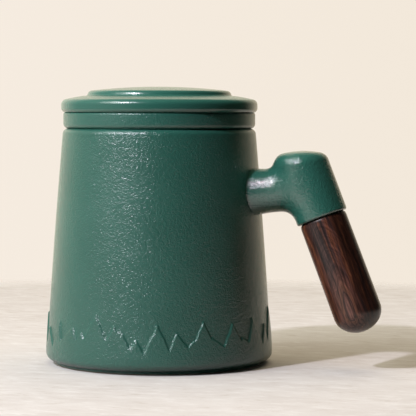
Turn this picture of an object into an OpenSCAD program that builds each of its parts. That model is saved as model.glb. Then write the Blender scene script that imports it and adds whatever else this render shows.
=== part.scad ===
// Lidded tea mug: a stoneware cup with a hanging infuser, a lid, and an elbow handle with a wooden grip.
// Millimetres, +Z up. The origin is the centre of the foot ring, on the mug's axis. The handle points along +X.

/* [Cup] */
// Height of the rim above the table
cup_h = 95.8; // [90:0.1:104]
// Outer diameter at the widest, just above the foot
cup_d = 92.5; // [88:0.5:98]
// Outer diameter of the wall just below the rim
rim_d = 78.8; // [76:0.2:82]
// Thickness of the wall
wall_t = 4.4; // [3.6:0.1:5]
// Thickness of the floor
floor_t = 5; // [4:0.5:8]
// How far the wall swells beyond a straight cone at half height
wall_swell = 0.28; // [0:0.02:0.6]
// Rounding of the outer edge above the foot
heel_r = 3.2; // [2.8:0.1:4.4]
// Rounding of the rim's outer edge
rim_outer_r = 2.5; // [1.6:0.1:2.8]
// Rounding of the rim's inner edge
rim_inner_r = 0.9; // [0.5:0.1:1.1]
// Rounding between the floor and the wall, inside
floor_r = 8; // [4:0.5:12]
// Height of the foot ring under the rounded edge
foot_h = 1.5; // [0.8:0.1:2]
// Width of the foot ring
foot_w = 5; // [3:0.5:8]
// How far the foot ring stands back from the rounded edge
foot_inset = 0.6; // [0.2:0.1:1.2]
// Depth of the hollow inside the foot ring
foot_hollow = 1.6; // [1:0.1:2.5]

/* [Mountain relief] */
// How far the mountains stand proud of the wall
relief_t = 0.5; // [0.3:0.05:0.8]
// Height of the plain band that the mountains rise from
relief_base_h = 7; // [6:0.25:8]

/* [Infuser] */
// Outer diameter of the flange
flange_d = 78.2; // [77:0.2:82]
// Thickness of the flange, seen between the rim and the lid
flange_h = 6.3; // [5:0.1:8]
// Rounding of the flange's lower edge
flange_lower_r = 1.8; // [1:0.1:1.9]
// Rounding of the flange's upper outer edge
flange_upper_r = 0.7; // [0.4:0.1:1.2]
// Rounding of the flange's upper inner edge
flange_inner_r = 0.8; // [0.4:0.1:1]
// How far the basket hangs below the rim
basket_depth = 58; // [45:1:68]
// Outer diameter of the basket at its lower end
basket_end_d = 60; // [54:1:62]
// Thickness of the basket's wall
basket_t = 2.6; // [2.2:0.1:3.2]
// Thickness of the basket's floor
basket_floor_t = 3; // [2.4:0.2:4]
// Length of the straight neck under the flange
neck_h = 9; // [5:1:15]
// Rounding of the basket's lower edge
basket_edge_r = 6; // [4:0.5:9]
// Diameter of the brewing holes
hole_d = 2.2; // [1.6:0.1:2.8]
// Distance between the hole circles in the floor
hole_pitch = 5.2; // [4.6:0.1:5.8]
// Number of hole circles round the floor's centre hole
floor_circles = 3; // [2:1:3]
// Rows of holes round the wall
wall_rows = 3; // [1:1:4]
// Height between the rows of wall holes
row_pitch = 6.5; // [5:0.5:8]
// Holes in a row round the wall
row_holes = 20; // [12:1:24]

/* [Lid] */
// Outer diameter
lid_d = 80; // [79:0.2:84]
// Height of the shoulder above the lid's seat
shoulder_h = 5.6; // [5:0.1:7]
// Rounding of the lower edge
lid_lower_r = 1.9; // [1:0.1:2]
// Rounding of the shoulder
shoulder_r = 2.4; // [1.5:0.1:2.8]
// Rise of the sloping top from the shoulder to the raised disc
slope_h = 1.3; // [0.6:0.1:2]
// Diameter of the raised disc
disc_d = 58.6; // [52:0.2:62]
// Height of the disc's edge above the sloping top
disc_h = 2.1; // [2:0.1:4]
// Rounding of the disc's edge
disc_r = 1.9; // [1.2:0.1:2]
// Rise of the disc's domed top
disc_dome = 1.6; // [0.4:0.1:2]
// Thickness of the lid under the middle of the disc
lid_t = 4.8; // [4:0.1:6]
// Height of the skirt below the lid's seat
skirt_h = 5; // [3:0.5:8]
// Thickness of the skirt
skirt_t = 3; // [2.2:0.1:4]

/* [Elbow] */
// Height at which the tube leaves the wall
tube_z = 70.5; // [62:0.1:76]
// Diameter of the tube
tube_d = 17.6; // [15:0.1:19]
// Angle at which the tube rises from the wall
tube_rise = 5.1; // [0:0.1:10]
// Distance from the wall to where the tube and the barrel cross
handle_reach = 23; // [20:0.1:28]
// Diameter of the barrel
barrel_d = 20.9; // [19:0.1:23]
// Length of the barrel
barrel_l = 27.9; // [26:0.1:34]
// Distance from the barrel's top to where the tube crosses it
barrel_above = 15; // [13:0.1:17]
// Lean of the barrel and grip away from upright
handle_tilt = 21.5; // [12:0.1:28]
// Angle at which the barrel's top rises away from the cup
top_rise = 4.4; // [0:0.1:8]
// Rounding of the top's edge on the cup's side
top_inner_r = 3.2; // [2:0.1:5]
// Rounding of the top's edge on the far side
top_outer_r = 5; // [3:0.1:6]
// How much rounder the top's edge is at the front and the back
top_side_r = 1.6; // [0:0.1:2]
// Rounding of the barrel's lower edge
barrel_end_r = 0.8; // [0.4:0.1:1]
// Diameter of the blind socket for the stud
socket_d = 13; // [11:0.5:14]
// Depth of the socket
socket_depth = 20; // [17:0.5:21]

/* [Grip] */
// Thickness of the washer between the barrel and the wood
washer_t = 0.4; // [0.3:0.1:1]
// Diameter of the washer
washer_d = 17.6; // [16:0.1:17.8]
// Diameter of the grip at its upper end
grip_top_d = 19.1; // [18.4:0.1:19.4]
// Diameter of the grip above its domed end
grip_end_d = 19.4; // [18.4:0.1:21]
// Length of the grip with its domed end
grip_l = 47.6; // [42:0.1:60]
// Length of the domed end
grip_end_l = 8.3; // [6:0.1:9]
// Softening of the grip's upper edge
grip_edge_r = 0.4; // [0.2:0.1:0.4]
// Diameter of the stud
stud_d = 6; // [5:0.5:8]
// Length of the stud in the socket
stud_up = 17; // [12:0.5:17]
// Length of the stud in the wood
stud_down = 26; // [18:1:30]

/* [Clearances] */
// Radial gap between the cup's mouth and the basket
mouth_gap = 0.8; // [0.5:0.1:1.5]
// Radial gap between the basket and the lid's skirt
skirt_gap = 0.6; // [0.4:0.1:1.2]
// Radial gap between the stud and the washer
washer_gap = 0.2; // [0.1:0.1:0.5]
// Spare depth of the hole in the wood beyond the stud
bore_spare = 1; // [0.5:0.5:3]

/* [Hidden] */
$fn = 96;

glaze = [0.20, 0.36, 0.31];
dark_wood = [0.23, 0.12, 0.09];
steel = [0.72, 0.73, 0.74];
cement = [0.70, 0.68, 0.63];
black_rubber = [0.08, 0.07, 0.07];

// Every mountain: [angle round the cup, height of its top, run of its left slope, run of its right slope].
// A run is measured along the wall, from below the top to where the slope meets the plain band.
mountains = [
    [-133, 18.8, 7, 5], [-120, 17.3, 14, 4.5], [-113, 15.8, 8, 6.5], [-104, 23.3, 9.5, 7.5],
    [-93, 18.8, 7, 7], [-88, 16.8, 4, 4.5], [-81, 13.8, 4.5, 4], [-71, 19.8, 6, 6.5],
    [-61.5, 16.8, 4, 8], [-52.5, 13.8, 6.5, 4], [-47.5, 20.8, 7, 6.5], [-43, 14.3, 3, 11.5],
    [-30.5, 19.3, 6.5, 8.5], [-24, 13.8, 4, 12], [-15, 20.8, 5, 10], [-2, 17.8, 3.5, 5],
    [9, 23.8, 7, 8], [22, 17.3, 6, 5], [34, 20.3, 9, 6], [43, 15.3, 4, 8],
    [57, 22.3, 8, 6.5], [68, 16.8, 5, 7], [80, 19.8, 6.5, 9], [90, 14.3, 4, 6],
    [103, 21.8, 9, 6], [115, 17.3, 5, 8], [128, 19.3, 7, 5], [138, 15.3, 5, 9],
    [153, 22.8, 8, 7], [166, 16.3, 6, 5], [177, 19.3, 6, 8], [190, 17.3, 7, 6],
    [202, 21.3, 8, 7], [214, 15.8, 5, 8]
];

// The plain wall of the cup is a cone with a slight swell, drawn in straight steps.
wall_steps = 5;
wall_low_r = cup_d / 2 - relief_t;
wall_top_z = cup_h - rim_outer_r;
wall_step_h = (wall_top_z - relief_base_h) / wall_steps;

function wall_z(i) = relief_base_h + i * wall_step_h;
function straight_r(t) = wall_low_r + (rim_d / 2 - wall_low_r) * t;
function swelled_r(t) = straight_r(t) + wall_swell * 4 * t * (1 - t);
function wall_r(z) = swelled_r((z - relief_base_h) / (wall_top_z - relief_base_h));

// Points along an arc, from one angle to another.
function arc(centre, r, from, to, steps = 8) =
    [for (i = [0:steps]) let (a = from + (to - from) * i / steps) centre + r * [cos(a), sin(a)]];

// Seats that the pieces share.
mouth_r = rim_d / 2 - wall_t;
basket_r = mouth_r - mouth_gap;
basket_bore_r = basket_r - basket_t;
basket_bottom_z = cup_h - basket_depth;
lid_seat_z = cup_h + flange_h;
inner_floor_z = foot_hollow + floor_t;

// Where the tube and the barrel cross, and the handle's lengths along the barrel's axis.
cross_x = wall_r(tube_z) + handle_reach;
cross_z = tube_z + handle_reach * tan(tube_rise);
grip_start = barrel_l + washer_t;

// Facets round the barrel.
barrel_sides = 32;

// Puts a piece on the barrel's axis: its local +Z runs from the barrel's top down to the grip's end.
module on_barrel() {
    translate([cross_x, 0, cross_z])
        rotate([0, 180 - handle_tilt, 0])
            translate([0, 0, -barrel_above])
                children();
}

// A short radial prism in the shape of one mountain, deep enough to pass right through the relief.
module mountain(angle, top_z, left_run, right_run) {
    below = 1;
    start_r = wall_low_r - 1.5 * wall_t;
    rotate([0, 0, angle])
        translate([start_r, 0, 0])
            rotate([90, 0, 90])
                linear_extrude(height = 3 * wall_t)
                    polygon([
                        [-left_run, relief_base_h - below], [right_run, relief_base_h - below],
                        [right_run, relief_base_h], [0, top_z], [-left_run, relief_base_h]
                    ]);
}

// The mountains that stand proud of the wall: a thin cone that follows the wall, cut to their outline.
module mountain_band() {
    depth = wall_t / 2;
    low_r = wall_r(wall_z(0));
    high_r = wall_r(wall_z(1));
    intersection() {
        rotate_extrude()
            polygon([
                [low_r - depth, wall_z(0)], [low_r + relief_t, wall_z(0)],
                [high_r + relief_t, wall_z(1)], [high_r - depth, wall_z(1)]
            ]);
        union() {
            for (m = mountains)
                mountain(m[0], min(m[1], wall_z(1)), m[2], m[3]);
        }
    }
}

module cup_body() {
    foot_outer_r = cup_d / 2 - heel_r - foot_inset;
    fillet_z = inner_floor_z + floor_r;
    fillet_x = wall_r(fillet_z) - wall_t - floor_r;
    inner_z = [for (i = [wall_steps:-1:0]) if (wall_z(i) > fillet_z) wall_z(i)];
    outline = concat(
        [[0, foot_hollow], [foot_outer_r - foot_w, foot_hollow], [foot_outer_r - foot_w, 0],
            [foot_outer_r, 0], [foot_outer_r, foot_h]],
        arc([cup_d / 2 - heel_r, foot_h + heel_r], heel_r, -90, 0),
        [[cup_d / 2, relief_base_h]],
        [for (i = [0:wall_steps - 1]) [wall_r(wall_z(i)), wall_z(i)]],
        arc([rim_d / 2 - rim_outer_r, wall_top_z], rim_outer_r, 0, 90),
        arc([mouth_r + rim_inner_r, cup_h - rim_inner_r], rim_inner_r, 90, 180, 4),
        [for (z = inner_z) [wall_r(z) - wall_t, z]],
        arc([fillet_x, fillet_z], floor_r, 0, -90),
        [[0, inner_floor_z]]
    );
    color(glaze)
        union() {
            rotate_extrude()
                polygon(outline);
            mountain_band();
        }
}

// The solid barrel: its top slants against its axis and has a rounded edge, and its lower end is square.
module barrel() {
    barrel_r = barrel_d / 2;
    slant = handle_tilt - top_rise;
    mean_r = (top_outer_r + top_inner_r) / 2;
    change_r = (top_outer_r - top_inner_r) / 2;
    end_outline = concat(
        [[0, barrel_l - barrel_end_r]],
        arc([barrel_r - barrel_end_r, barrel_l - barrel_end_r], barrel_end_r, 0, 90, 3),
        [[0, barrel_l]]
    );
    hull() {
        for (a = [0:360 / barrel_sides:359]) {
            edge_r = mean_r - change_r * cos(a) + top_side_r * pow(sin(a), 2);
            out = barrel_r - edge_r;
            rotate([0, 0, a])
                translate([out, 0, edge_r / cos(slant) - out * cos(a) * tan(slant)])
                    sphere(r = edge_r, $fn = barrel_sides);
        }
        rotate_extrude($fn = barrel_sides)
            polygon(end_outline);
    }
}

module handle_elbow() {
    tube_l = handle_reach / cos(tube_rise) + wall_t;
    color(glaze)
        difference() {
            union() {
                translate([cross_x, 0, cross_z])
                    rotate([0, -90 - tube_rise, 0])
                        cylinder(h = tube_l, d = tube_d);
                on_barrel()
                    barrel();
            }
            rotate_extrude()
                polygon(concat(
                    [[0, wall_z(0)]],
                    [for (i = [0:wall_steps]) [wall_r(wall_z(i)), wall_z(i)]],
                    [[0, wall_top_z]]
                ));
            on_barrel()
                translate([0, 0, barrel_l - socket_depth])
                    cylinder(h = socket_depth + barrel_d, d = socket_d);
        }
}

module socket_cement() {
    color(cement)
        on_barrel()
            difference() {
                translate([0, 0, barrel_l - socket_depth])
                    cylinder(h = socket_depth, d = socket_d);
                translate([0, 0, barrel_l - stud_up])
                    cylinder(h = stud_up + barrel_d, d = stud_d);
            }
}

module handle_stud() {
    color(steel)
        on_barrel()
            translate([0, 0, barrel_l - stud_up])
                cylinder(h = stud_up + washer_t + stud_down, d = stud_d);
}

module joint_washer() {
    color(black_rubber)
        on_barrel()
            translate([0, 0, barrel_l])
                difference() {
                    cylinder(h = washer_t, d = washer_d);
                    translate([0, 0, -washer_t])
                        cylinder(h = 3 * washer_t, r = stud_d / 2 + washer_gap);
                }
}

module wooden_grip() {
    top_r = grip_top_d / 2;
    end_r = grip_end_d / 2;
    shoulder_z = grip_l - grip_end_l;
    dome_steps = 10;
    outline = concat(
        [[0, 0]],
        arc([top_r - grip_edge_r, grip_edge_r], grip_edge_r, -90, 0, 3),
        [for (i = [0:dome_steps]) let (a = 90 * i / dome_steps) [end_r * cos(a), shoulder_z + grip_end_l * sin(a)]]
    );
    color(dark_wood)
        on_barrel()
            translate([0, 0, grip_start])
                difference() {
                    rotate_extrude()
                        polygon(outline);
                    translate([0, 0, -washer_t])
                        cylinder(h = washer_t + stud_down + bore_spare, d = stud_d);
                }
}

// Brewing holes: circles through the basket's floor, and rows through its lower wall.
module brewing_holes() {
    through = 3 * basket_floor_t;
    first_row_z = basket_bottom_z + basket_edge_r + hole_d;
    for (k = [0:floor_circles], i = [0:max(0, 6 * k - 1)])
        rotate([0, 0, 360 * i / max(1, 6 * k)])
            translate([k * hole_pitch, 0, basket_bottom_z - basket_floor_t])
                cylinder(h = through, d = hole_d, $fn = 24);
    for (row = [0:wall_rows - 1], i = [0:row_holes - 1])
        rotate([0, 0, 360 * (i + row / 2) / row_holes])
            translate([basket_end_d / 2 - basket_edge_r, 0, first_row_z + row * row_pitch])
                rotate([0, 90, 0])
                    cylinder(h = 2 * basket_edge_r, d = hole_d, $fn = 24);
}

module infuser() {
    flange_r = flange_d / 2;
    end_r = basket_end_d / 2;
    neck_z = cup_h - neck_h;
    edge_z = basket_bottom_z + basket_edge_r;
    bore_edge_r = basket_edge_r - basket_t;
    bore_edge_z = basket_bottom_z + basket_floor_t + bore_edge_r;
    outline = concat(
        [[0, basket_bottom_z]],
        arc([end_r - basket_edge_r, edge_z], basket_edge_r, -90, 0, 6),
        [[basket_r, neck_z], [basket_r, cup_h]],
        arc([flange_r - flange_lower_r, cup_h + flange_lower_r], flange_lower_r, -90, 0, 6),
        arc([flange_r - flange_upper_r, lid_seat_z - flange_upper_r], flange_upper_r, 0, 90, 4),
        arc([basket_bore_r + flange_inner_r, lid_seat_z - flange_inner_r], flange_inner_r, 90, 180, 4),
        [[basket_bore_r, neck_z]],
        arc([end_r - basket_t - bore_edge_r, bore_edge_z], bore_edge_r, 0, -90, 6),
        [[0, basket_bottom_z + basket_floor_t]]
    );
    color(glaze)
        difference() {
            rotate_extrude()
                polygon(outline);
            brewing_holes();
        }
}

module lid() {
    lid_r = lid_d / 2;
    disc_edge_r = disc_d / 2;
    skirt_r = basket_bore_r - skirt_gap;
    hollow_r = skirt_r - skirt_t;
    shoulder_z = lid_seat_z + shoulder_h;
    disc_base_z = shoulder_z + slope_h;
    disc_edge_z = disc_base_z + disc_h;
    hollow_z = disc_edge_z + disc_dome - lid_t;
    hollow_round = 2;
    skirt_round = 0.8;
    outline = concat(
        arc([skirt_r - skirt_round, lid_seat_z - skirt_h + skirt_round], skirt_round, -90, 0, 3),
        [[skirt_r, lid_seat_z]],
        arc([lid_r - lid_lower_r, lid_seat_z + lid_lower_r], lid_lower_r, -90, 0, 6),
        arc([lid_r - shoulder_r, shoulder_z - shoulder_r], shoulder_r, 0, 80, 6),
        [[disc_edge_r, disc_base_z]],
        arc([disc_edge_r - disc_r, disc_edge_z - disc_r], disc_r, 0, 85, 6),
        [[0, disc_edge_z + disc_dome], [0, hollow_z]],
        arc([hollow_r - hollow_round, hollow_z - hollow_round], hollow_round, 90, 0, 4),
        [[hollow_r, lid_seat_z - skirt_h]]
    );
    color(glaze)
        rotate_extrude()
            polygon(outline);
}

cup_body();
handle_elbow();
socket_cement();
handle_stud();
joint_washer();
wooden_grip();
infuser();
lid();
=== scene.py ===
# The looks of a lidded tea mug: glazed stoneware, a hanging infuser, an elbow handle and a turned
# wooden grip. Metres, +Z up. The mug's axis is the Z axis, and the handle points along +X.

from math import atan2, ceil, cos, hypot, pi, radians, sin, tan

import bmesh
import bpy
import numpy as np
from mathutils import Matrix, Quaternion, Vector, noise


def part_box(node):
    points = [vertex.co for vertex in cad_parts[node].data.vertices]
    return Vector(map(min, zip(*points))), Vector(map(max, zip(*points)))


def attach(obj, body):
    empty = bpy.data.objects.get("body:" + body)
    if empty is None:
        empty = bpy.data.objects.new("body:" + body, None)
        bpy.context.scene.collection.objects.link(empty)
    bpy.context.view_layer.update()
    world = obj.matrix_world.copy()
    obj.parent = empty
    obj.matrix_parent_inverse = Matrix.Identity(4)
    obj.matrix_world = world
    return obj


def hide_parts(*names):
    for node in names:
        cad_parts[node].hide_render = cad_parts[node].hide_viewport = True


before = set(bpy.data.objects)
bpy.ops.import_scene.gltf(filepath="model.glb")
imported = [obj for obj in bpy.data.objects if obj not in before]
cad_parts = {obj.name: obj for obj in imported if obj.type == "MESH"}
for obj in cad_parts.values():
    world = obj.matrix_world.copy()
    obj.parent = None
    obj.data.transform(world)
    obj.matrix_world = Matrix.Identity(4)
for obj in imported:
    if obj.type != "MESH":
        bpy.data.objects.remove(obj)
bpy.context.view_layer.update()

MM = 0.001
SCENE = bpy.context.scene

# Edges steeper than this stay crisp where one piece is cut out of another.
crisp_angle = radians(40)

# Columns of the turned meshes
cup_columns = 960
ring_columns = 240
handle_columns = 96
socket_columns = 48
hole_columns = 20
floor_columns = 64


# ---------------------------------------------------------------- sizes of the pieces

# Endings of names: _r radius, _t thickness, _h height, _l length, _w width, _z height above the table.
CUP_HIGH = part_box("cup_body")[1]
INFUSER_LOW, INFUSER_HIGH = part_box("infuser")
LID_LOW, LID_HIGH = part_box("lid")

# Cup
cup_r = CUP_HIGH.x
cup_h = CUP_HIGH.z
rim_r = 39.4 * MM
wall_t = 4.4 * MM
floor_t = 5 * MM
wall_swell = 0.28 * MM
heel_r = 3.2 * MM
rim_outer_r = 2.5 * MM
rim_inner_r = 0.9 * MM
inner_floor_r = 8 * MM
foot_h = 1.5 * MM
foot_w = 5 * MM
foot_inset = 0.6 * MM
foot_hollow = 1.6 * MM
foot_edge_r = 0.3 * MM

# Mountain relief. Its edge is a soft step with a wobble.
relief_t = 0.5 * MM
relief_base_h = 7 * MM
relief_top_h = 24.5 * MM
relief_pitch = 0.27 * MM
step_w = 0.6 * MM
wobble_t = 0.3 * MM
wobble_l = 3.5 * MM
# Every mountain: angle round the cup in degrees, height of its top, runs of its left and right slopes, in mm.
MOUNTAINS = [
    (-131, 18.8, 7, 2.6), (-119, 17.5, 14, 4.5), (-112.7, 15.8, 8, 5.5), (-103.4, 23.3, 9.5, 8),
    (-93, 18.6, 8.2, 10), (-88.7, 16.6, 4, 5.6), (-81.3, 13.8, 4.9, 4.1), (-71, 19.8, 6, 6.5),
    (-61.5, 16.8, 4, 8), (-52.5, 13.8, 6.5, 4), (-47.5, 20.8, 7, 6.5), (-43, 14.3, 3, 11.5),
    (-30.5, 19.3, 6.5, 8.5), (-24, 13.8, 4, 12), (-15, 20.8, 5, 10), (-2, 17.8, 3.5, 5),
    (9, 23.8, 7, 8), (22, 17.3, 6, 5), (34, 20.3, 9, 6), (43, 15.3, 4, 8),
    (57, 22.3, 8, 6.5), (68, 16.8, 5, 7), (80, 19.8, 6.5, 9), (90, 14.3, 4, 6),
    (103, 21.8, 9, 6), (115, 17.3, 5, 8), (128, 19.3, 7, 5), (138, 15.3, 5, 9),
    (153, 22.8, 8, 7), (166, 16.3, 6, 5), (177, 19.3, 6, 8), (190, 17.3, 7, 6),
    (202, 21.3, 8, 7), (214, 15.8, 5, 8),
]

# Drops of glaze gathered on the ridge: angle round the cup in degrees, height, half width and half
# height in mm.
drop_t = 0.5 * MM
DROPS = [
    (-98.9, 15.9, 0.8, 0.7), (-97.3, 13.9, 0.8, 0.8), (-93, 18.8, 0.7, 0.7), (-90.6, 16.5, 1.7, 0.9),
    (-84.3, 11.0, 0.8, 0.9), (-81.6, 13.6, 0.8, 0.7), (-77.5, 9.0, 0.7, 0.8), (-71.5, 19.5, 0.7, 0.7),
]

# Infuser
flange_r = 39.1 * MM
flange_lower_r = 1.8 * MM
flange_upper_r = 0.7 * MM
flange_inner_r = 0.8 * MM
basket_r = 34.2 * MM
basket_end_r = 30 * MM
basket_t = 2.6 * MM
basket_floor_t = 3 * MM
basket_edge_r = 6 * MM
neck_h = 9 * MM
hole_r = 1.1 * MM
hole_flare = 0.45 * MM
hole_pitch = 5.2 * MM
floor_circles = 3
wall_rows = 3
row_pitch = 6.5 * MM
row_holes = 20

# Lid
lid_r = LID_HIGH.x
lid_seat_z = INFUSER_HIGH.z
shoulder_h = 5.6 * MM
lid_lower_r = 1.9 * MM
shoulder_r = 2.4 * MM
slope_h = 1.3 * MM
disc_edge_r = 29.3 * MM
disc_h = 2.1 * MM
disc_round = 1.9 * MM
disc_dome = 1.6 * MM
disc_root_r = 0.5 * MM
disc_root_w = 0.6 * MM
lid_t = 4.8 * MM
hollow_edge_r = 2 * MM
skirt_r = 31 * MM
skirt_t = 3 * MM
skirt_outer_edge_r = 0.8 * MM
skirt_inner_edge_r = 0.5 * MM
skirt_root_r = 0.4 * MM

# Elbow and grip. Their common axis starts in the middle of the barrel's top and leans away from the cup.
tube_r = 8.8 * MM
tube_z = 70.5 * MM
tube_rise = radians(5.1)
tube_end_r = 6 * MM
tube_in_wall = 2.5 * MM
root_flare = 0.7 * MM
root_l = 8 * MM
tube_blend = 5 * MM
handle_reach = 23 * MM
barrel_r = 10.45 * MM
barrel_l = 27.9 * MM
barrel_above = 15 * MM
handle_lean = radians(21.5)
top_rise = radians(4.3)
top_dome_r = 36 * MM
top_lift = 0.5 * MM
top_inner_r = 4 * MM
top_outer_r = 4.6 * MM
top_side_r = 1.6 * MM
barrel_end_r = 0.8 * MM
# The elbow's surface is found in a grid of this pitch, which reaches this far over the barrel and to the cup.
grid_pitch = 0.45 * MM
grid_above = 5 * MM
grid_reach = 33 * MM
grid_room = 1 * MM
socket_r = 6.5 * MM
socket_depth = 20 * MM
washer_t = 0.4 * MM
washer_r = 8.8 * MM
washer_bore_r = 3.2 * MM
grip_top_r = 9.55 * MM
grip_end_r = 9.7 * MM
grip_l = 47.6 * MM
grip_end_l = 8.3 * MM
grip_edge_r = 0.5 * MM
grip_edge_l = 1.9 * MM
stud_r = 3 * MM
stud_bore_l = 27 * MM

# The camera stands in front of the mug, a little to the handle's side, at the height of the lid.
camera_azimuth = radians(20)
camera_distance = 813 * MM
camera_height = 104.5 * MM
camera_pitch = radians(2.907)
camera_roll = radians(0.12)
camera_yaw = radians(1.403)
camera_lens = 172.2
camera_sensor = 36


# ---------------------------------------------------------------- outlines

def arc(centre_r, centre_z, r, start, end, steps):
    """Points (radius, height) along an arc, from one angle to another in degrees."""
    turns = [radians(start + (end - start) * i / steps) for i in range(steps + 1)]
    return [(centre_r + r * cos(a), centre_z + r * sin(a)) for a in turns]


def filled(outline, step):
    """The outline with points added, so that no two neighbours lie further apart than the step."""
    points = [outline[0]]
    for (r0, z0), (r1, z1) in zip(outline, outline[1:]):
        on_axis = r0 == 0 and r1 == 0
        parts = 1 if on_axis else max(1, ceil(hypot(r1 - r0, z1 - z0) / step))
        points += [(r0 + (r1 - r0) * k / parts, z0 + (z1 - z0) * k / parts) for k in range(1, parts + 1)]
    return points


def wall_radius(z):
    """Radius of the cup's plain wall at a height: a cone with a slight swell."""
    low = cup_r - relief_t
    t = (z - relief_base_h) / (cup_h - rim_outer_r - relief_base_h)
    return low + (rim_r - low) * t + wall_swell * 4 * t * (1 - t)


# ---------------------------------------------------------------- meshes

def smooth_object(name, mesh):
    """An object with smooth shading, added to the scene."""
    mesh.polygons.foreach_set("use_smooth", [True] * len(mesh.polygons))
    piece = bpy.data.objects.new(name, mesh)
    SCENE.collection.objects.link(piece)
    return piece


def turned(name, outline, columns, closed=False):
    """A piece turned round the Z axis. Outline points on the axis become single vertices."""
    points, faces, rings = [], [], []
    for r, z in outline:
        if r < 1e-7:
            rings.append([len(points)] * columns)
            points.append((0, 0, z))
            continue
        rings.append(list(range(len(points), len(points) + columns)))
        points += [(r * cos(2 * pi * k / columns), r * sin(2 * pi * k / columns), z) for k in range(columns)]
    pairs = list(zip(rings, rings[1:]))
    if closed:
        pairs.append((rings[-1], rings[0]))
    for lower, upper in pairs:
        for k in range(columns):
            corners = dict.fromkeys([lower[k], lower[(k + 1) % columns], upper[(k + 1) % columns], upper[k]])
            if len(corners) > 2:
                faces.append(list(corners))
    mesh = bpy.data.meshes.new(name)
    mesh.from_pydata(points, [], faces)
    mesh.validate()
    return smooth_object(name, mesh)


def cut(piece, cutter):
    """Cuts one piece out of another, and keeps crisp edges where they meet."""
    difference = piece.modifiers.new("cut", "BOOLEAN")
    difference.operation = "DIFFERENCE"
    difference.object = cutter
    difference.solver = "EXACT"
    graph = bpy.context.evaluated_depsgraph_get()
    mesh = bpy.data.meshes.new_from_object(piece.evaluated_get(graph))
    piece.modifiers.clear()
    piece.data = mesh
    bpy.data.objects.remove(cutter)
    mesh.set_sharp_from_angle(angle=crisp_angle)


# ---------------------------------------------------------------- cup

def distance_round(turn, degrees):
    """Distance round the cup from an angle in degrees to points at the given turns, to either side."""
    return ((turn - radians(degrees) + pi) % (2 * pi) - pi) * cup_r


def ridge_distance(turn, height):
    """Distance along the wall from points to the mountains' ridge, negative below the ridge."""
    nearest = height - relief_base_h
    for degrees, top, left, right in MOUNTAINS:
        across = distance_round(turn, degrees)
        above = height - top * MM
        rise = top * MM - relief_base_h
        left_side = (above * left * MM - across * rise) / hypot(left * MM, rise)
        right_side = (above * right * MM + across * rise) / hypot(right * MM, rise)
        nearest = np.minimum(nearest, np.maximum(left_side, right_side))
    return nearest


def gathered_glaze(turn, height):
    """The drops of glaze, from 0 to 1. Each swells slowly downwards and ends in a short round step."""
    most = np.zeros(len(turn))
    for degrees, middle, wide, high in DROPS:
        across = distance_round(turn, degrees) / (wide * MM)
        above = (height - middle * MM) / (high * MM)
        swell = np.clip((1 - above) / 2, 0, 1) * np.clip((1 + above) / 0.5, 0, 1)
        most = np.maximum(most, swell * np.clip(1 - across ** 4, 0, 1))
    return most


def cup_outline():
    """The cup's outline, from the middle of its underside over the rim to the middle of its floor."""
    foot_r = cup_r - heel_r - foot_inset
    floor_z = foot_hollow + floor_t
    corner_z = floor_z + inner_floor_r
    corner_r = wall_radius(corner_z) - wall_t - inner_floor_r
    mouth_r = rim_r - wall_t
    wall_top = cup_h - rim_outer_r
    foot = [(0, foot_hollow), (foot_r - foot_w - 2 * foot_edge_r, foot_hollow)]
    foot += arc(foot_r - foot_w + foot_edge_r, foot_edge_r, foot_edge_r, 180, 270, 3)
    foot += arc(foot_r - foot_edge_r, foot_edge_r, foot_edge_r, 270, 360, 3)
    foot += [(foot_r, foot_h)]
    foot += arc(cup_r - heel_r, foot_h + heel_r, heel_r, -90, 0, 12)
    relief = [(cup_r, z) for z in np.arange(relief_base_h, relief_top_h, relief_pitch)]
    wall = [(wall_radius(z), z) for z in np.linspace(relief_top_h, wall_top - 0.4 * MM, 46)]
    inside = arc(rim_r - rim_outer_r, wall_top, rim_outer_r, 0, 90, 10)
    inside += arc(mouth_r + rim_inner_r, cup_h - rim_inner_r, rim_inner_r, 90, 180, 6)
    inside += [(wall_radius(z) - wall_t, z) for z in np.linspace(wall_top - 2 * MM, corner_z, 24)]
    inside += arc(corner_r, corner_z, inner_floor_r, 0, -90, 10)[1:]
    inside += [(0, floor_z)]
    return filled(foot, 2.5 * MM) + relief + wall + filled(inside, 3 * MM)


def raise_relief(cup):
    """Sets the outside of the relief's band to the plain wall, the mountains and the drops of glaze."""
    place = np.empty(len(cup.data.vertices) * 3)
    cup.data.vertices.foreach_get("co", place)
    place = place.reshape(-1, 3)
    radius = np.hypot(place[:, 0], place[:, 1])
    low = place[:, 2] > relief_base_h - 1e-6
    band = low & (place[:, 2] < relief_top_h) & (radius > cup_r - 0.1 * MM)
    turn = np.arctan2(place[band, 1], place[band, 0])
    height = place[band, 2]
    wobble = wobble_t * np.array([noise.noise(Vector(point) / wobble_l) for point in place[band]])
    t = np.clip(0.5 - (ridge_distance(turn, height) + wobble) / step_w, 0, 1)
    mountains = wall_radius(height) + relief_t * t * t * (3 - 2 * t)
    drops = wall_radius(height) + drop_t * gathered_glaze(turn, height)
    r = np.minimum(np.maximum(mountains, drops), cup_r)
    place[band, 0] = r * np.cos(turn)
    place[band, 1] = r * np.sin(turn)
    cup.data.vertices.foreach_set("co", place.ravel())
    cup.data.update()


def make_cup():
    """The cup, turned from one outline, with the relief raised on its wall."""
    cup = turned("cup_shell", cup_outline(), cup_columns)
    raise_relief(cup)
    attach(cup, "cup")
    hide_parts("cup_body")
    return cup


# ---------------------------------------------------------------- elbow

def axis_frame():
    """The barrel's frame: its origin is the middle of the barrel's top, and +Z runs to the grip's end."""
    cross = Vector((wall_radius(tube_z) + handle_reach, 0, tube_z + handle_reach * tan(tube_rise)))
    lean = Matrix.Rotation(pi - handle_lean, 4, "Y")
    return Matrix.Translation(cross) @ lean @ Matrix.Translation((0, 0, -barrel_above))


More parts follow.
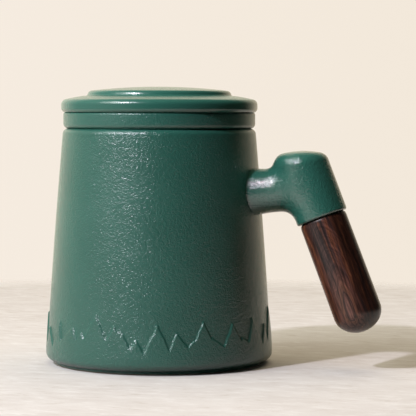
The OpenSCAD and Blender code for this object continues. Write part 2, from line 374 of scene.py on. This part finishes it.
def soft_min(a, b, k):
    """The smaller of two distances, blended over the length k."""
    h = np.maximum(k - np.abs(a - b), 0) / k
    return np.minimum(a, b) - h * h * k / 4


def round_max(a, b, r, skew=0.0):
    """The larger of two distances, with a convex edge of radius r. Skew is their directions' dot product."""
    square = 1 - skew * skew
    round_a = a + r - skew * (b + r)
    round_b = b + r - skew * (a + r)
    away = np.sqrt(np.maximum((a + r) * round_a + (b + r) * round_b, 0) / square)
    return np.where((round_a > 0) & (round_b > 0), away - r, np.maximum(a, b))


def barrel_distance(p):
    """Distance to the barrel: a cylinder under a domed, slanted top, whose edge changes round it."""
    x, y, z = p[:, 0], p[:, 1], p[:, 2]
    radial = np.hypot(x, y)
    inward = np.where(radial > 1e-6, x / np.maximum(radial, 1e-6), 0)
    edge_r = (top_outer_r + top_inner_r) / 2 - (top_outer_r - top_inner_r) / 2 * inward
    edge_r = edge_r + top_side_r * (1 - inward * inward)
    slant = handle_lean - top_rise
    upright = np.array((-sin(slant), 0, -cos(slant)))
    from_centre = p - upright * (top_lift - top_dome_r)
    far = np.linalg.norm(from_centre, axis=1)
    outward = (from_centre[:, 0] * x + from_centre[:, 1] * y) / np.maximum(radial * far, 1e-9)
    barrel = round_max(radial - barrel_r, far - top_dome_r, edge_r, outward)
    return round_max(barrel, z - barrel_l, barrel_end_r)


def tube_distance(p):
    """Distance to the tube, which flares where it meets the cup's wall and ends inside that wall."""
    wall_side = Vector((-cos(tube_rise), 0, -sin(tube_rise)))
    along = np.array(axis_frame().to_3x3().inverted() @ wall_side)
    tube_l = handle_reach / cos(tube_rise)
    q = p - np.array((0, 0, barrel_above))
    t = q @ along
    off = q - np.outer(t, along)
    flare = root_flare * np.clip((t - tube_l) / root_l + 1, 0, 1.1) ** 2
    tube = np.linalg.norm(off, axis=1) - tube_r - flare
    tube = round_max(tube, -t, tube_end_r)
    return np.maximum(tube, t - (tube_l + tube_in_wall))


def elbow_distance(p):
    """Distance from points in the barrel's frame to the elbow's surface, negative inside."""
    return soft_min(barrel_distance(p), tube_distance(p), tube_blend)


def surface(name, distance, low, high, step):
    """A mesh of the surface at distance zero, with a point in each cell of a grid that it crosses."""
    axes = [np.arange(a, b + step, step) for a, b in zip(low, high)]
    grid = np.stack(np.meshgrid(*axes, indexing="ij"), -1)
    size = grid.shape[:3]
    value = distance(grid.reshape(-1, 3)).reshape(size)
    inside = value < 0
    corner = [(i, j, k) for i in (0, 1) for j in (0, 1) for k in (0, 1)]
    cells = tuple(n - 1 for n in size)

    def shifted(data, offset):
        return data[tuple(slice(o, o + n) for o, n in zip(offset, cells))]

    filled_corners = sum(shifted(inside, c).astype(int) for c in corner)
    crossed = (filled_corners > 0) & (filled_corners < 8)
    number = np.full(cells, -1)
    number[crossed] = np.arange(crossed.sum())
    points = shifted(grid, (0, 0, 0))[crossed] + step / 2
    faces = []
    # Each grid edge that crosses the surface gives a square between the four cells round it.
    for axis in range(3):
        u, v = (axis + 1) % 3, (axis + 2) % 3
        ahead = np.roll(inside, -1, axis)
        keep = tuple(slice(1, n - 1) for n in size)
        change = np.zeros(size, bool)
        change[keep] = (inside != ahead)[keep]
        spots = np.argwhere(change)
        back_u = np.eye(3, dtype=int)[u]
        back_v = np.eye(3, dtype=int)[v]
        ring = [spots, spots - back_u, spots - back_u - back_v, spots - back_v]
        quad = np.stack([number[tuple(c.T)] for c in ring], 1)
        flip = ~inside[tuple(spots.T)]
        quad[flip] = quad[flip][:, ::-1]
        faces.append(quad)
    # A few steps along the slope bring every point onto the surface.
    nudge = step * 0.02
    for _ in range(6):
        here = distance(points)
        slope = np.stack([distance(points + d) - here for d in np.eye(3) * nudge], 1) / nudge
        points = points - slope * (here / np.maximum((slope ** 2).sum(1), 1e-9))[:, None]
    mesh = bpy.data.meshes.new(name)
    mesh.from_pydata(points.tolist(), [], np.concatenate(faces).tolist())
    mesh.validate()
    return smooth_object(name, mesh)


def make_elbow():
    """The elbow, with the blind socket for the stud's cement."""
    low = (-barrel_r - grid_room, -barrel_r - grid_room, -grid_above)
    high = (grid_reach, barrel_r + grid_room, barrel_l + grid_room)
    elbow = surface("elbow", elbow_distance, low, high, grid_pitch)
    bottom = barrel_l - socket_depth
    mouth = barrel_l + 2 * MM
    socket = [(0, bottom), (socket_r, bottom), (socket_r, mouth), (0, mouth)]
    cut(elbow, turned("socket", socket, socket_columns))
    elbow.data.transform(axis_frame())
    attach(elbow, "cup")
    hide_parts("handle_elbow")
    return elbow


# ---------------------------------------------------------------- washer and grip

def make_washer():
    """The thin washer between the elbow and the grip."""
    half = washer_t / 2
    outline = arc(washer_r - half, half, half, -90, 90, 8) + [(washer_bore_r, washer_t), (washer_bore_r, 0)]
    washer = turned("washer", outline, handle_columns, closed=True)
    washer.data.transform(axis_frame() @ Matrix.Translation((0, 0, barrel_l)))
    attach(washer, "cup")
    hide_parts("joint_washer")
    return washer


def make_grip():
    """The turned grip, with a domed end and a bore for the stud."""
    shoulder = grip_l - grip_end_l
    dome = [(grip_end_r * cos(a), shoulder + grip_end_l * sin(a)) for a in np.linspace(0, pi / 2, 17)]
    widening = grip_end_r - grip_top_r
    side_l = shoulder - grip_edge_l
    side = [(grip_top_r + widening * t, grip_edge_l + side_l * t) for t in (0.05, 0.95)]
    turns = np.linspace(-pi / 2, 0, 9)
    edge = [(grip_top_r - grip_edge_r * (1 - cos(a)), grip_edge_l * (1 + sin(a))) for a in turns]
    outline = [(stud_r, stud_bore_l), (stud_r, 0)] + edge + side + dome[:-1] + [(0, grip_l)]
    grip = turned("grip", [(0, stud_bore_l)] + filled(outline, 2 * MM), handle_columns)
    grip.data.transform(axis_frame() @ Matrix.Translation((0, 0, barrel_l + washer_t)))
    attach(grip, "cup")
    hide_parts("wooden_grip")
    return grip


# ---------------------------------------------------------------- infuser

def basket_outline():
    """The infuser's outline, from its underside's middle over the flange to the middle of its floor."""
    low = INFUSER_LOW.z
    neck_z = cup_h - neck_h
    bore_r = basket_r - basket_t
    bore_edge = basket_edge_r - basket_t
    outline = [(0, low)]
    outline += arc(basket_end_r - basket_edge_r, low + basket_edge_r, basket_edge_r, -90, 0, 8)
    outline += [(basket_r, neck_z), (basket_r, cup_h)]
    outline += arc(flange_r - flange_lower_r, cup_h + flange_lower_r, flange_lower_r, -90, 0, 8)
    outline += arc(flange_r - flange_upper_r, lid_seat_z - flange_upper_r, flange_upper_r, 0, 90, 6)
    outline += arc(bore_r + flange_inner_r, lid_seat_z - flange_inner_r, flange_inner_r, 90, 180, 6)
    outline += [(bore_r, neck_z)]
    floor_z = low + basket_floor_t
    outline += arc(basket_end_r - basket_t - bore_edge, floor_z + bore_edge, bore_edge, 0, -90, 8)
    outline += [(0, floor_z)]
    return filled(outline, 1.6 * MM)


def spool(through):
    """A cutter for one brewing hole, flared where the glaze rounds the hole's edges. It runs along +Z."""
    mouth_r = hole_r + hole_flare
    outline = [(mouth_r, -0.3 * MM), (mouth_r, 0), (hole_r + 0.2 * hole_flare, 0.3 * hole_flare)]
    outline += [(hole_r, hole_flare)]
    outline += [(r, through - z) for r, z in reversed(outline)]
    return [(0, outline[0][1])] + outline + [(0, outline[-1][1])]


def hole_cutters():
    """One mesh of all the cutters: circles through the floor and rows through the lower wall."""
    low = INFUSER_LOW.z
    cutters = []
    for circle in range(floor_circles + 1):
        count = max(1, 6 * circle)
        for i in range(count):
            turn = Matrix.Rotation(2 * pi * i / count, 4, "Z")
            cutters.append((turn @ Matrix.Translation((circle * hole_pitch, 0, low)), basket_floor_t))
    edge_z = low + basket_edge_r
    wall_h = cup_h - neck_h - edge_z
    lean = Matrix.Rotation(atan2(basket_r - basket_end_r, wall_h), 4, "Y")
    inward = lean @ Matrix.Rotation(-pi / 2, 4, "Y")
    for row in range(wall_rows):
        z = edge_z + 2 * hole_r + row * row_pitch
        r = basket_end_r + (basket_r - basket_end_r) * (z - edge_z) / wall_h
        for i in range(row_holes):
            turn = Matrix.Rotation(2 * pi * (i + row / 2) / row_holes, 4, "Z")
            cutters.append((turn @ Matrix.Translation((r, 0, z)) @ inward, basket_t))
    shape = bmesh.new()
    for place, through in cutters:
        one = turned("one", spool(through), hole_columns)
        one.data.transform(place)
        shape.from_mesh(one.data)
        bpy.data.objects.remove(one)
    mesh = bpy.data.meshes.new("cutters")
    bmesh.ops.recalc_face_normals(shape, faces=shape.faces)
    shape.to_mesh(mesh)
    shape.free()
    return smooth_object("cutters", mesh)


def make_infuser():
    """The basket with its flange and its brewing holes."""
    infuser = turned("infuser_basket", basket_outline(), ring_columns)
    cut(infuser, hole_cutters())
    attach(infuser, "infuser")
    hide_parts("infuser")
    return infuser


# ---------------------------------------------------------------- lid

def lid_outline():
    """The lid's outline, from the skirt's lower edge over the disc and down through the hollow."""
    low = LID_LOW.z
    shoulder_z = lid_seat_z + shoulder_h
    disc_z = shoulder_z + slope_h
    edge_z = disc_z + disc_h
    top_z = edge_z + disc_dome
    hollow_r = skirt_r - skirt_t
    hollow_z = top_z - lid_t
    outline = arc(skirt_r - skirt_outer_edge_r, low + skirt_outer_edge_r, skirt_outer_edge_r, -90, 0, 5)
    outline += [(skirt_r, lid_seat_z - skirt_root_r)]
    outline += arc(skirt_r + skirt_root_r, lid_seat_z - skirt_root_r, skirt_root_r, 180, 90, 3)
    outline += arc(lid_r - lid_lower_r, lid_seat_z + lid_lower_r, lid_lower_r, -90, 0, 10)
    outline += arc(lid_r - shoulder_r, shoulder_z - shoulder_r, shoulder_r, 0, 64, 12)
    slope_r, slope_z = outline[-1]
    foot_r = disc_edge_r + disc_root_w
    run, rise = slope_r - foot_r, disc_z - slope_z
    steps = np.linspace(0.08, 1, 12)
    outline += [(slope_r - run * t, slope_z + rise * (1 - (1 - t) ** 1.4)) for t in steps]
    outline += arc(foot_r, disc_z + disc_root_r, disc_root_r, 255, 190, 5)
    outline += arc(disc_edge_r - disc_round, edge_z - disc_round, disc_round, 8, 84, 10)
    dome_r, dome_z = outline[-1]
    outline += [(dome_r * t, top_z - (top_z - dome_z) * t * t) for t in np.linspace(0.96, 0.04, 24)]
    outline += [(0, top_z), (0, hollow_z)]
    outline += arc(hollow_r - hollow_edge_r, hollow_z - hollow_edge_r, hollow_edge_r, 90, 0, 6)
    outline += [(hollow_r, low + skirt_inner_edge_r)]
    outline += arc(hollow_r + skirt_inner_edge_r, low + skirt_inner_edge_r, skirt_inner_edge_r, 180, 270, 4)
    return filled(outline, 1.2 * MM)


def make_lid():
    """The lid, turned from one outline."""
    lid = turned("lid_cover", lid_outline(), ring_columns, closed=True)
    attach(lid, "lid")
    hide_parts("lid")
    return lid


# ---------------------------------------------------------------- shader helpers

def feed(tree, node, inputs):
    """Feeds a node's inputs, by name or by number, with other nodes' outputs or with plain values."""
    for key, value in inputs.items():
        if isinstance(value, bpy.types.NodeSocket):
            tree.links.new(value, node.inputs[key])
        else:
            node.inputs[key].default_value = value


def add(tree, kind, inputs=None, **settings):
    """A new node with its settings and its inputs."""
    node = tree.nodes.new("ShaderNode" + kind)
    for key, value in settings.items():
        setattr(node, key, value)
    feed(tree, node, inputs or {})
    return node


def maths(tree, operation, *values):
    """The result of a maths node on two or three values."""
    return add(tree, "Math", dict(enumerate(values)), operation=operation).outputs[0]


def vector_maths(tree, operation, *values):
    """The result of a vector maths node: a number for a length or a dot product, and else a vector."""
    node = add(tree, "VectorMath", dict(enumerate(values)), operation=operation)
    return node.outputs["Value" if operation in ("LENGTH", "DOT_PRODUCT") else "Vector"]


def ranged(tree, value, low, high, start=0.0, end=1.0, curve="LINEAR"):
    """Maps a value from the range low to high onto the range start to end, and holds it there."""
    inputs = {"Value": value, "From Min": low, "From Max": high, "To Min": start, "To Max": end}
    return add(tree, "MapRange", inputs, interpolation_type=curve).outputs["Result"]


def noise_at(tree, place, scale, detail, roughness=0.5):
    """The value of a noise texture at a place."""
    inputs = {"Vector": place, "Scale": scale, "Detail": detail, "Roughness": roughness}
    return add(tree, "TexNoise", inputs).outputs["Fac"]


def blended(tree, factor, first, second):
    """Mixes two colours, each of which is a socket or a plain colour."""
    node = add(tree, "Mix", {"Factor": factor}, data_type="RGBA")
    colours = [(*c, 1) if isinstance(c, tuple) else c for c in (first, second)]
    numbers = [i for i, socket in enumerate(node.inputs) if socket.type == "RGBA"]
    feed(tree, node, dict(zip(numbers, colours)))
    return [socket for socket in node.outputs if socket.type == "RGBA"][0]


def ramp_of(tree, factor, stops, start, length):
    """A colour ramp whose stops are given as (place, colour), measured from a start over a length."""
    node = add(tree, "ValToRGB", {"Fac": factor})
    for _ in stops[2:]:
        node.color_ramp.elements.new(0.5)
    for element, (spot, colour) in zip(node.color_ramp.elements, stops):
        element.position = (spot - start) / length
        element.color = (*colour, 1)
    return node.outputs["Color"]


def new_material(name):
    """A material, its emptied node tree and its output node."""
    material = bpy.data.materials.new(name)
    material.use_nodes = True
    tree = material.node_tree
    tree.nodes.clear()
    return material, tree, add(tree, "OutputMaterial")


def solid_material(name):
    """A material, its node tree, its shader, and the place of a point in the object."""
    material, tree, out = new_material(name)
    shader = add(tree, "BsdfPrincipled")
    tree.links.new(shader.outputs["BSDF"], out.inputs["Surface"])
    return material, tree, shader, add(tree, "TexCoord").outputs["Object"]


def bumped(tree, height, depth, strength=1.0):
    """The normal of a surface that is bumped by a height."""
    return add(tree, "Bump", {"Height": height, "Strength": strength, "Distance": depth}).outputs["Normal"]


def node_group(name, inputs, outputs):
    """An empty shader node group, what it is given and its end. Rows are (name, socket type, default)."""
    group = bpy.data.node_groups.new(name, "ShaderNodeTree")
    for rows, way in ((inputs, "INPUT"), (outputs, "OUTPUT")):
        for label, kind, value in rows:
            socket = group.interface.new_socket(name=label, in_out=way, socket_type="NodeSocket" + kind)
            if value is not None:
                socket.default_value = value
    return group, group.nodes.new("NodeGroupInput").outputs, group.nodes.new("NodeGroupOutput")


# ---------------------------------------------------------------- glaze

glaze_colour = (0.024, 0.118, 0.088)
glaze_thin_colour = (0.028, 0.132, 0.099)
# A lighter copy of the same glaze colour: painted light, for the pieces that stand in more light than the cup
glaze_painted_light_colour = (0.030, 0.140, 0.106)
clay_colour = (0.20, 0.145, 0.105)

# Scales of the noises in the glaze's skin, and the share of the finest in the peel
peel_grain_scale = 3500.0
peel_lump_scale = 1750.0
peel_fold_scale = 850.0
peel_grain_share = 0.35
cloud_scale = 60.0

# Ranges, here and below: a low and a high value, and what those become where it isn't 0 and 1
cloud_range = (0.3, 0.7)
calm_range = (cup_h - 5 * MM, cup_h - 1.5 * MM, 1.0, 0.8)
bare_range = (0.3 * MM, 0.5 * MM, 1.0, 0.0)

# How much rougher the surface is in the clouds, and where it is bare
cloud_roughness = 0.08
bare_roughness = 0.4


def glaze_skin_group():
    """The glaze's skin: a peel of folds, lumps and grain, twisted round the mug, and slow clouds."""
    inputs = [
        ("Vector", "Vector", None),
        ("Peel Size", "Float", 1.0),
        ("Twist", "Float", 0.0),
        ("Folds", "Float", 0.9),
    ]
    outputs = [("Peel", "Float", None), ("Cloud", "Float", None)]
    group, given, end = node_group("glaze skin", inputs, outputs)
    height = add(group, "SeparateXYZ", {"Vector": given["Vector"]}).outputs["Z"]
    turn = maths(group, "MULTIPLY", height, given["Twist"])
    twisted = add(group, "VectorRotate", {"Vector": given["Vector"], "Angle": turn}, rotation_type="Z_AXIS")
    vector = twisted.outputs["Vector"]
    lumps = noise_at(group, vector, maths(group, "DIVIDE", peel_lump_scale, given["Peel Size"]), 1.5)
    grain = noise_at(group, vector, maths(group, "DIVIDE", peel_grain_scale, given["Peel Size"]), 1.0)
    folds = noise_at(group, vector, peel_fold_scale, 1.0)
    peel = maths(group, "MULTIPLY_ADD", grain, peel_grain_share, lumps)
    peel = maths(group, "MULTIPLY_ADD", folds, given["Folds"], peel)
    feed(group, end, {"Peel": peel, "Cloud": noise_at(group, given["Vector"], cloud_scale, 3.0)})
    return group


GLAZE_SKIN = glaze_skin_group()


def glaze(name, light, peel_size, peel_depth, roughness, twist=0.0, folds=0.9, ior=1.7, footed=False):
    """Satin green glaze. Its peel is deep on the cast cup and nearly smooth on the pressed lid. Light sets
    how far its colour is lightened by painted light.
    """
    material, tree, shader, place = solid_material(name)
    given = {"Vector": place, "Peel Size": peel_size, "Twist": twist, "Folds": folds}
    skin = add(tree, "Group", given, node_tree=GLAZE_SKIN)
    peel = skin.outputs["Peel"]
    cloud = skin.outputs["Cloud"]
    colour = blended(tree, ranged(tree, cloud, *cloud_range), glaze_colour, glaze_thin_colour)
    colour = blended(tree, light, colour, glaze_painted_light_colour)
    sheen = maths(tree, "MULTIPLY_ADD", cloud, cloud_roughness, roughness)
    if footed:
        height = add(tree, "SeparateXYZ", {"Vector": place}).outputs["Z"]
        peel = maths(tree, "MULTIPLY", peel, ranged(tree, height, *calm_range))
        bare = ranged(tree, height, *bare_range)
        colour = blended(tree, bare, colour, clay_colour)
        sheen = maths(tree, "MULTIPLY_ADD", bare, bare_roughness, sheen)
    normal = bumped(tree, peel, peel_depth)
    feed(tree, shader, {"Base Color": colour, "Roughness": sheen, "Normal": normal, "IOR": ior})
    return material


# ---------------------------------------------------------------- wood

# The heart, the middle of the rings, lies beside the grip and low on it. The rings are drawn out along the
# grip's axis.
heart_side = 14 * MM
heart_l = 66.5 * MM
heart_squash = 0.35

# The rings round the heart: distance in mm, and colour
ring_first = 4
ring_span = 4
RING_STOPS = [
    (4.2, (0.110, 0.050, 0.038)), (4.9, (0.085, 0.036, 0.027)), (5.1, (0.018, 0.009, 0.008)),
    (5.5, (0.125, 0.051, 0.030)), (6.2, (0.095, 0.039, 0.028)), (7.2, (0.078, 0.032, 0.024)),
    (7.7, (0.024, 0.013, 0.013)),
]

# The streaks beyond the rings: noise, and colour
STREAK_STOPS = [
    (0.36, (0.024, 0.012, 0.011)), (0.45, (0.062, 0.028, 0.023)), (0.54, (0.112, 0.038, 0.021)),
    (0.60, (0.062, 0.022, 0.014)), (0.70, (0.17, 0.062, 0.030)),
]

# Noises in the wood: share of their length that is left along the axis, scale, detail, roughness
drift_noise = (0.16, 190.0, 3.0, 0.6)
streak_noise = (0.07, 700.0, 4.0, 0.62)
fibre_noise = (0.05, 1300.0, 2.0, 0.6)
line_noise = {"Scale": 2600.0, "Detail": 2.0, "Roughness": 0.6}
drift_depth = 3.4 * MM
fibre_depth = 0.05 * MM

# Where the rings give way to streaks, how the streaks shift off the heart, the tones of lines and fibres
streaked_range = (6.8 * MM, 8.4 * MM)
flank_range = (6 * MM, 9 * MM, -0.05, 0.05)
line_range = (0.35, 0.65, 0.7, 1.3)
fibre_range = (0.36, 0.64, 0.35, 1.75)

# The side of the grip that is darker, partly darker wood and partly painted shade on the side away from the
# key light: its direction, and the tones along that
dark_and_shaded_way = (-0.947, 0.321, 0.020)
dark_and_shaded_range = (1.5 * MM, 4.2 * MM, 1.0, 0.3)


def drawn_noise(tree, place, share, scale, detail, roughness):
    """A noise texture that is drawn out along the grip's axis."""
    drawn_out = add(tree, "Mapping", {"Vector": place, "Scale": (1, 1, share)}).outputs["Vector"]
    inputs = {"Vector": drawn_out, "Scale": scale, "Detail": detail, "Roughness": roughness}
    return add(tree, "TexNoise", inputs)


def wood_figure(tree, warped):
    """The colour of the rings and the streaks, and the distance to the heart."""
    heart = {"Location": (0, heart_side, -heart_squash * heart_l), "Scale": (1, 1, heart_squash)}
    from_heart = add(tree, "Mapping", {"Vector": warped, **heart}).outputs["Vector"]
    ring = vector_maths(tree, "LENGTH", from_heart)
    along_ring = maths(tree, "DIVIDE", maths(tree, "SUBTRACT", ring, ring_first * MM), ring_span * MM)
    rings = ramp_of(tree, along_ring, RING_STOPS, ring_first, ring_span)
    off_heart = vector_maths(tree, "LENGTH", vector_maths(tree, "MULTIPLY", from_heart, (1, 1, 0)))
    streak = drawn_noise(tree, warped, *streak_noise).outputs["Fac"]
    flank = ranged(tree, off_heart, *flank_range)
    streaks = ramp_of(tree, maths(tree, "ADD", streak, flank), STREAK_STOPS, 0, 1)
    beyond = ranged(tree, ring, *streaked_range, curve="SMOOTHSTEP")
    return blended(tree, beyond, rings, streaks), ring


def wood():
    """Oiled dark hardwood: rings that close in long loops low on the grip, a side darkened partly as painted
    shade, and fine fibres.
    """
    material, tree, shader, place = solid_material("dark wood")
    start, lean, _ = axis_frame().decompose()
    grip_frame = {"Vector": place, "Location": start, "Rotation": lean.to_euler()}
    on_axis = add(tree, "Mapping", grip_frame, vector_type="TEXTURE").outputs["Vector"]
    drift = drawn_noise(tree, on_axis, *drift_noise).outputs["Color"]
    drift = vector_maths(tree, "SUBTRACT", drift, (0.5, 0.5, 0.5))
    drift = add(tree, "VectorMath", {0: drift, "Scale": drift_depth}, operation="SCALE").outputs["Vector"]
    warped = vector_maths(tree, "ADD", on_axis, drift)
    figure, ring = wood_figure(tree, warped)
    lines = add(tree, "TexNoise", {"W": ring, **line_noise}, noise_dimensions="1D").outputs["Fac"]
    fibre = drawn_noise(tree, warped, *fibre_noise).outputs["Fac"]
    grain = maths(tree, "MULTIPLY", ranged(tree, lines, *line_range), ranged(tree, fibre, *fibre_range))
    # Darkens the side away from the key light: partly darker wood, partly painted shade
    across = vector_maths(tree, "DOT_PRODUCT", warped, dark_and_shaded_way)
    tone = maths(tree, "MULTIPLY", grain, ranged(tree, across, *dark_and_shaded_range))
    grey = add(tree, "CombineXYZ", {"X": tone, "Y": tone, "Z": tone}).outputs["Vector"]
    colour = vector_maths(tree, "MULTIPLY", figure, grey)
    normal = bumped(tree, fibre, fibre_depth)
    feed(tree, shader, {"Base Color": colour, "Roughness": 0.31, "Normal": normal, "IOR": 1.5})
    return material


# ---------------------------------------------------------------- plain finishes

plain_darker = 0.75
plain_bump = 0.6


def fine_grain_group():
    """The fine unevenness of rubber, cement and steel."""
    inputs = [("Vector", "Vector", None), ("Scale", "Float", 900.0)]
    group, given, end = node_group("fine grain", inputs, [("Grain", "Float", None)])
    feed(group, end, {"Grain": noise_at(group, given["Vector"], given["Scale"], 3.0)})
    return group


FINE_GRAIN = fine_grain_group()


def plain_finish(name, colour, roughness, metallic=0.0, grain_scale=900.0, depth=0.01 * MM):
    """A hidden or small part's finish, with a little unevenness."""
    material, tree, shader, place = solid_material(name)
    grain = add(tree, "Group", {"Vector": place, "Scale": grain_scale}, node_tree=FINE_GRAIN).outputs["Grain"]
    darker = tuple(plain_darker * c for c in colour)
    shade = blended(tree, grain, darker, colour)
    normal = bumped(tree, grain, depth, plain_bump)
    feed(tree, shader, {"Base Color": shade, "Roughness": roughness, "Metallic": metallic, "Normal": normal})
    return material


# ---------------------------------------------------------------- the pieces in their finishes

def finish(piece, material):
    """Gives a piece its one material."""
    piece.data.materials.clear()
    piece.data.materials.append(material)


# The elbow, the infuser and the lid get their glaze painted lighter than the cup's, a painted light where
# they stand in more light
cup_skin = glaze(
    "cup glaze", light=0.0, peel_size=1.0, peel_depth=0.185 * MM, roughness=0.178, twist=-0.7, footed=True)
elbow_skin = glaze(
    "elbow glaze", light=1.0, peel_size=1.25, peel_depth=0.155 * MM, roughness=0.06, folds=1.1, ior=1.95)
infuser_skin = glaze("infuser glaze", light=0.6, peel_size=1.0, peel_depth=0.13 * MM, roughness=0.22)
lid_skin = glaze("lid glaze", light=0.6, peel_size=1.3, peel_depth=0.06 * MM, roughness=0.16)
rubber = plain_finish("black rubber", (0.02, 0.018, 0.017), roughness=0.6)
cement = plain_finish("cement", (0.55, 0.52, 0.46), roughness=0.9, grain_scale=700.0, depth=0.05 * MM)
steel = plain_finish("stainless steel", (0.6, 0.6, 0.6), roughness=0.35, metallic=1.0, grain_scale=1500.0)

finish(make_cup(), cup_skin)
finish(make_elbow(), elbow_skin)
finish(make_washer(), rubber)
finish(make_grip(), wood())
finish(make_infuser(), infuser_skin)
finish(make_lid(), lid_skin)
finish(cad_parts["socket_cement"], cement)
finish(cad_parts["handle_stud"], steel)


# ---------------------------------------------------------------- floor

# The table top fades out between two distances from the mug, in metres.
floor_r = 0.6
floor_step = 0.05
fade_range = (0.33, 0.41)

stone_dark = (0.64, 0.61, 0.585)
stone_light = (0.71, 0.69, 0.67)
vein_pale = (0.765, 0.75, 0.735)
vein_dull = (0.585, 0.548, 0.51)
stone_bounce = (0.12, 0.11, 0.10)
stone_range = (0.35, 0.65)
pale_range = (0.52, 0.70)
dull_range = (0.30, 0.44, 1.0, 0.0)
# Noises in the stone: scale, detail, roughness
stone_noise = (55.0, 6.0, 0.7)
vein_noise = (170.0, 5.0, 0.7)


def make_floor():
    """A pale stone table top. The light that it throws back onto the mug is weaker than its looks."""
    floor = turned("floor", filled([(0, 0), (floor_r, 0)], floor_step), floor_columns)
    material, tree, out = new_material("pale stone")
    place = add(tree, "TexCoord").outputs["Object"]
    facing = {"Vector": place, "Rotation": (0, 0, -camera_azimuth), "Scale": (0.5, 1, 1)}
    drawn_out = add(tree, "Mapping", facing).outputs["Vector"]
    cloud = noise_at(tree, drawn_out, *stone_noise)
    veins = noise_at(tree, drawn_out, *vein_noise)
    seen = blended(tree, ranged(tree, cloud, *stone_range), stone_dark, stone_light)
    seen = blended(tree, ranged(tree, veins, *pale_range), seen, vein_pale)
    seen = blended(tree, ranged(tree, veins, *dull_range), seen, vein_dull)
    colour = blended(tree, add(tree, "LightPath").outputs["Is Diffuse Ray"], seen, stone_bounce)
    stone = add(tree, "BsdfDiffuse", {"Color": colour}).outputs["BSDF"]
    clear = add(tree, "BsdfTransparent").outputs["BSDF"]
    fade = ranged(tree, vector_maths(tree, "LENGTH", place), *fade_range, curve="SMOOTHSTEP")
    mix = add(tree, "MixShader", {0: fade, 1: stone, 2: clear})
    tree.links.new(mix.outputs["Shader"], out.inputs["Surface"])
    finish(floor, material)


# ---------------------------------------------------------------- world and lights

# What stands round the mug: azimuth and elevation of its middle in degrees, and the cosines of the angle
# from there at which it ends and is full
right_side = (90, 0, -0.3, 0.3)
left_wall = (-97, 8, 0.15, 0.7)
screen = (-82, 12, 0.7, 0.97)
rear_wall = (184, 0, 0.42, 0.88)

backdrop_colour = (0.93, 0.85, 0.765)
backdrop_right_colour = (0.885, 0.80, 0.69)
room_colour = (0.02, 0.02, 0.02)
left_wall_colour = (0.18, 0.175, 0.155)
left_wall_in_gloss = (0.34, 0.33, 0.29)
screen_colour = (2.3, 2.3, 2.15)
rear_wall_colour = (1.15, 1.06, 0.86)
rear_right_colour = (0.88, 0.76, 0.57)
rear_wall_in_gloss = (0.75, 0.67, 0.52)


def direction(azimuth, elevation):
    """The way to a point round the mug. Azimuth 0 is the camera's side, and 90 degrees is to its right."""
    a = camera_azimuth + radians(azimuth)
    e = radians(elevation)
    return Vector((sin(a) * cos(e), -cos(a) * cos(e), sin(e)))


def make_world():
    """A warm pale backdrop for the camera, and a dark room with pale walls and a screen for the rest."""
    world = bpy.data.worlds.new("studio")
    SCENE.world = world
    world.use_nodes = True
    world.cycles.sampling_method = "NONE"
    tree = world.node_tree
    tree.nodes.clear()
    look = add(tree, "TexCoord").outputs["Generated"]
    path = add(tree, "LightPath")
    gloss = path.outputs["Is Glossy Ray"]

    def facing(azimuth, elevation, low, high):
        towards = vector_maths(tree, "DOT_PRODUCT", look, direction(azimuth, elevation))
        return ranged(tree, towards, low, high, curve="SMOOTHSTEP")

    right = facing(*right_side)
    left = blended(tree, gloss, left_wall_colour, left_wall_in_gloss)
    room = blended(tree, facing(*left_wall), room_colour, left)
    room = blended(tree, facing(*screen), room, blended(tree, gloss, screen_colour, room))
    rear = blended(tree, right, rear_wall_colour, rear_right_colour)
    rear = blended(tree, gloss, rear_wall_in_gloss, rear)
    room = blended(tree, facing(*rear_wall), room, rear)
    backdrop = blended(tree, right, backdrop_colour, backdrop_right_colour)
    seen = blended(tree, path.outputs["Is Camera Ray"], room, backdrop)
    background = add(tree, "Background", {"Color": seen, "Strength": 1.0})
    out = add(tree, "OutputWorld")
    tree.links.new(background.outputs["Background"], out.inputs["Surface"])


# The lamps: azimuth and elevation in degrees, distance and width in metres, power, colour, seen in gloss
LAMPS = {
    "key": (-45, 40, 1.6, 0.09, 16.5, (0.90, 0.87, 1.0), True),
    "overhead": (150, 74, 1.3, 1.6, 9.8, (1.0, 0.84, 0.60), False),
    "side": (-60, 40, 1.2, 0.65, 5.0, (0.95, 1.0, 0.97), True),
}


def area_light(name, azimuth, elevation, distance, width, power, colour, glossy):
    """A round lamp that faces the middle of the cup."""
    lamp = bpy.data.lights.new(name, "AREA")
    lamp.shape = "DISK"
    lamp.size = width
    lamp.energy = power
    lamp.color = colour
    holder = bpy.data.objects.new(name, lamp)
    SCENE.collection.objects.link(holder)
    towards = direction(azimuth, elevation)
    holder.location = Vector((0, 0, cup_h / 2)) + towards * distance
    holder.rotation_mode = "QUATERNION"
    holder.rotation_quaternion = towards.to_track_quat("Z", "Y")
    holder.visible_glossy = glossy


make_floor()
make_world()
for lamp_name, lamp_row in LAMPS.items():
    area_light(lamp_name, *lamp_row)


# ---------------------------------------------------------------- camera

def make_camera():
    """The camera, which looks slightly down, and a little to the right of the mug's axis."""
    lens = bpy.data.cameras.new("camera")
    lens.lens = camera_lens
    lens.sensor_width = camera_sensor
    holder = bpy.data.objects.new("camera", lens)
    SCENE.collection.objects.link(holder)
    across = camera_distance * sin(camera_azimuth)
    back = camera_distance * cos(camera_azimuth)
    holder.location = (across, -back, camera_height)
    heading = pi / 2 + camera_azimuth - camera_yaw
    look = Vector((cos(heading) * cos(camera_pitch), sin(heading) * cos(camera_pitch), -sin(camera_pitch)))
    holder.rotation_mode = "QUATERNION"
    holder.rotation_quaternion = look.to_track_quat("-Z", "Y") @ Quaternion((0, 0, 1), camera_roll)
    SCENE.camera = holder


make_camera()
SCENE.view_settings.view_transform = "Standard"
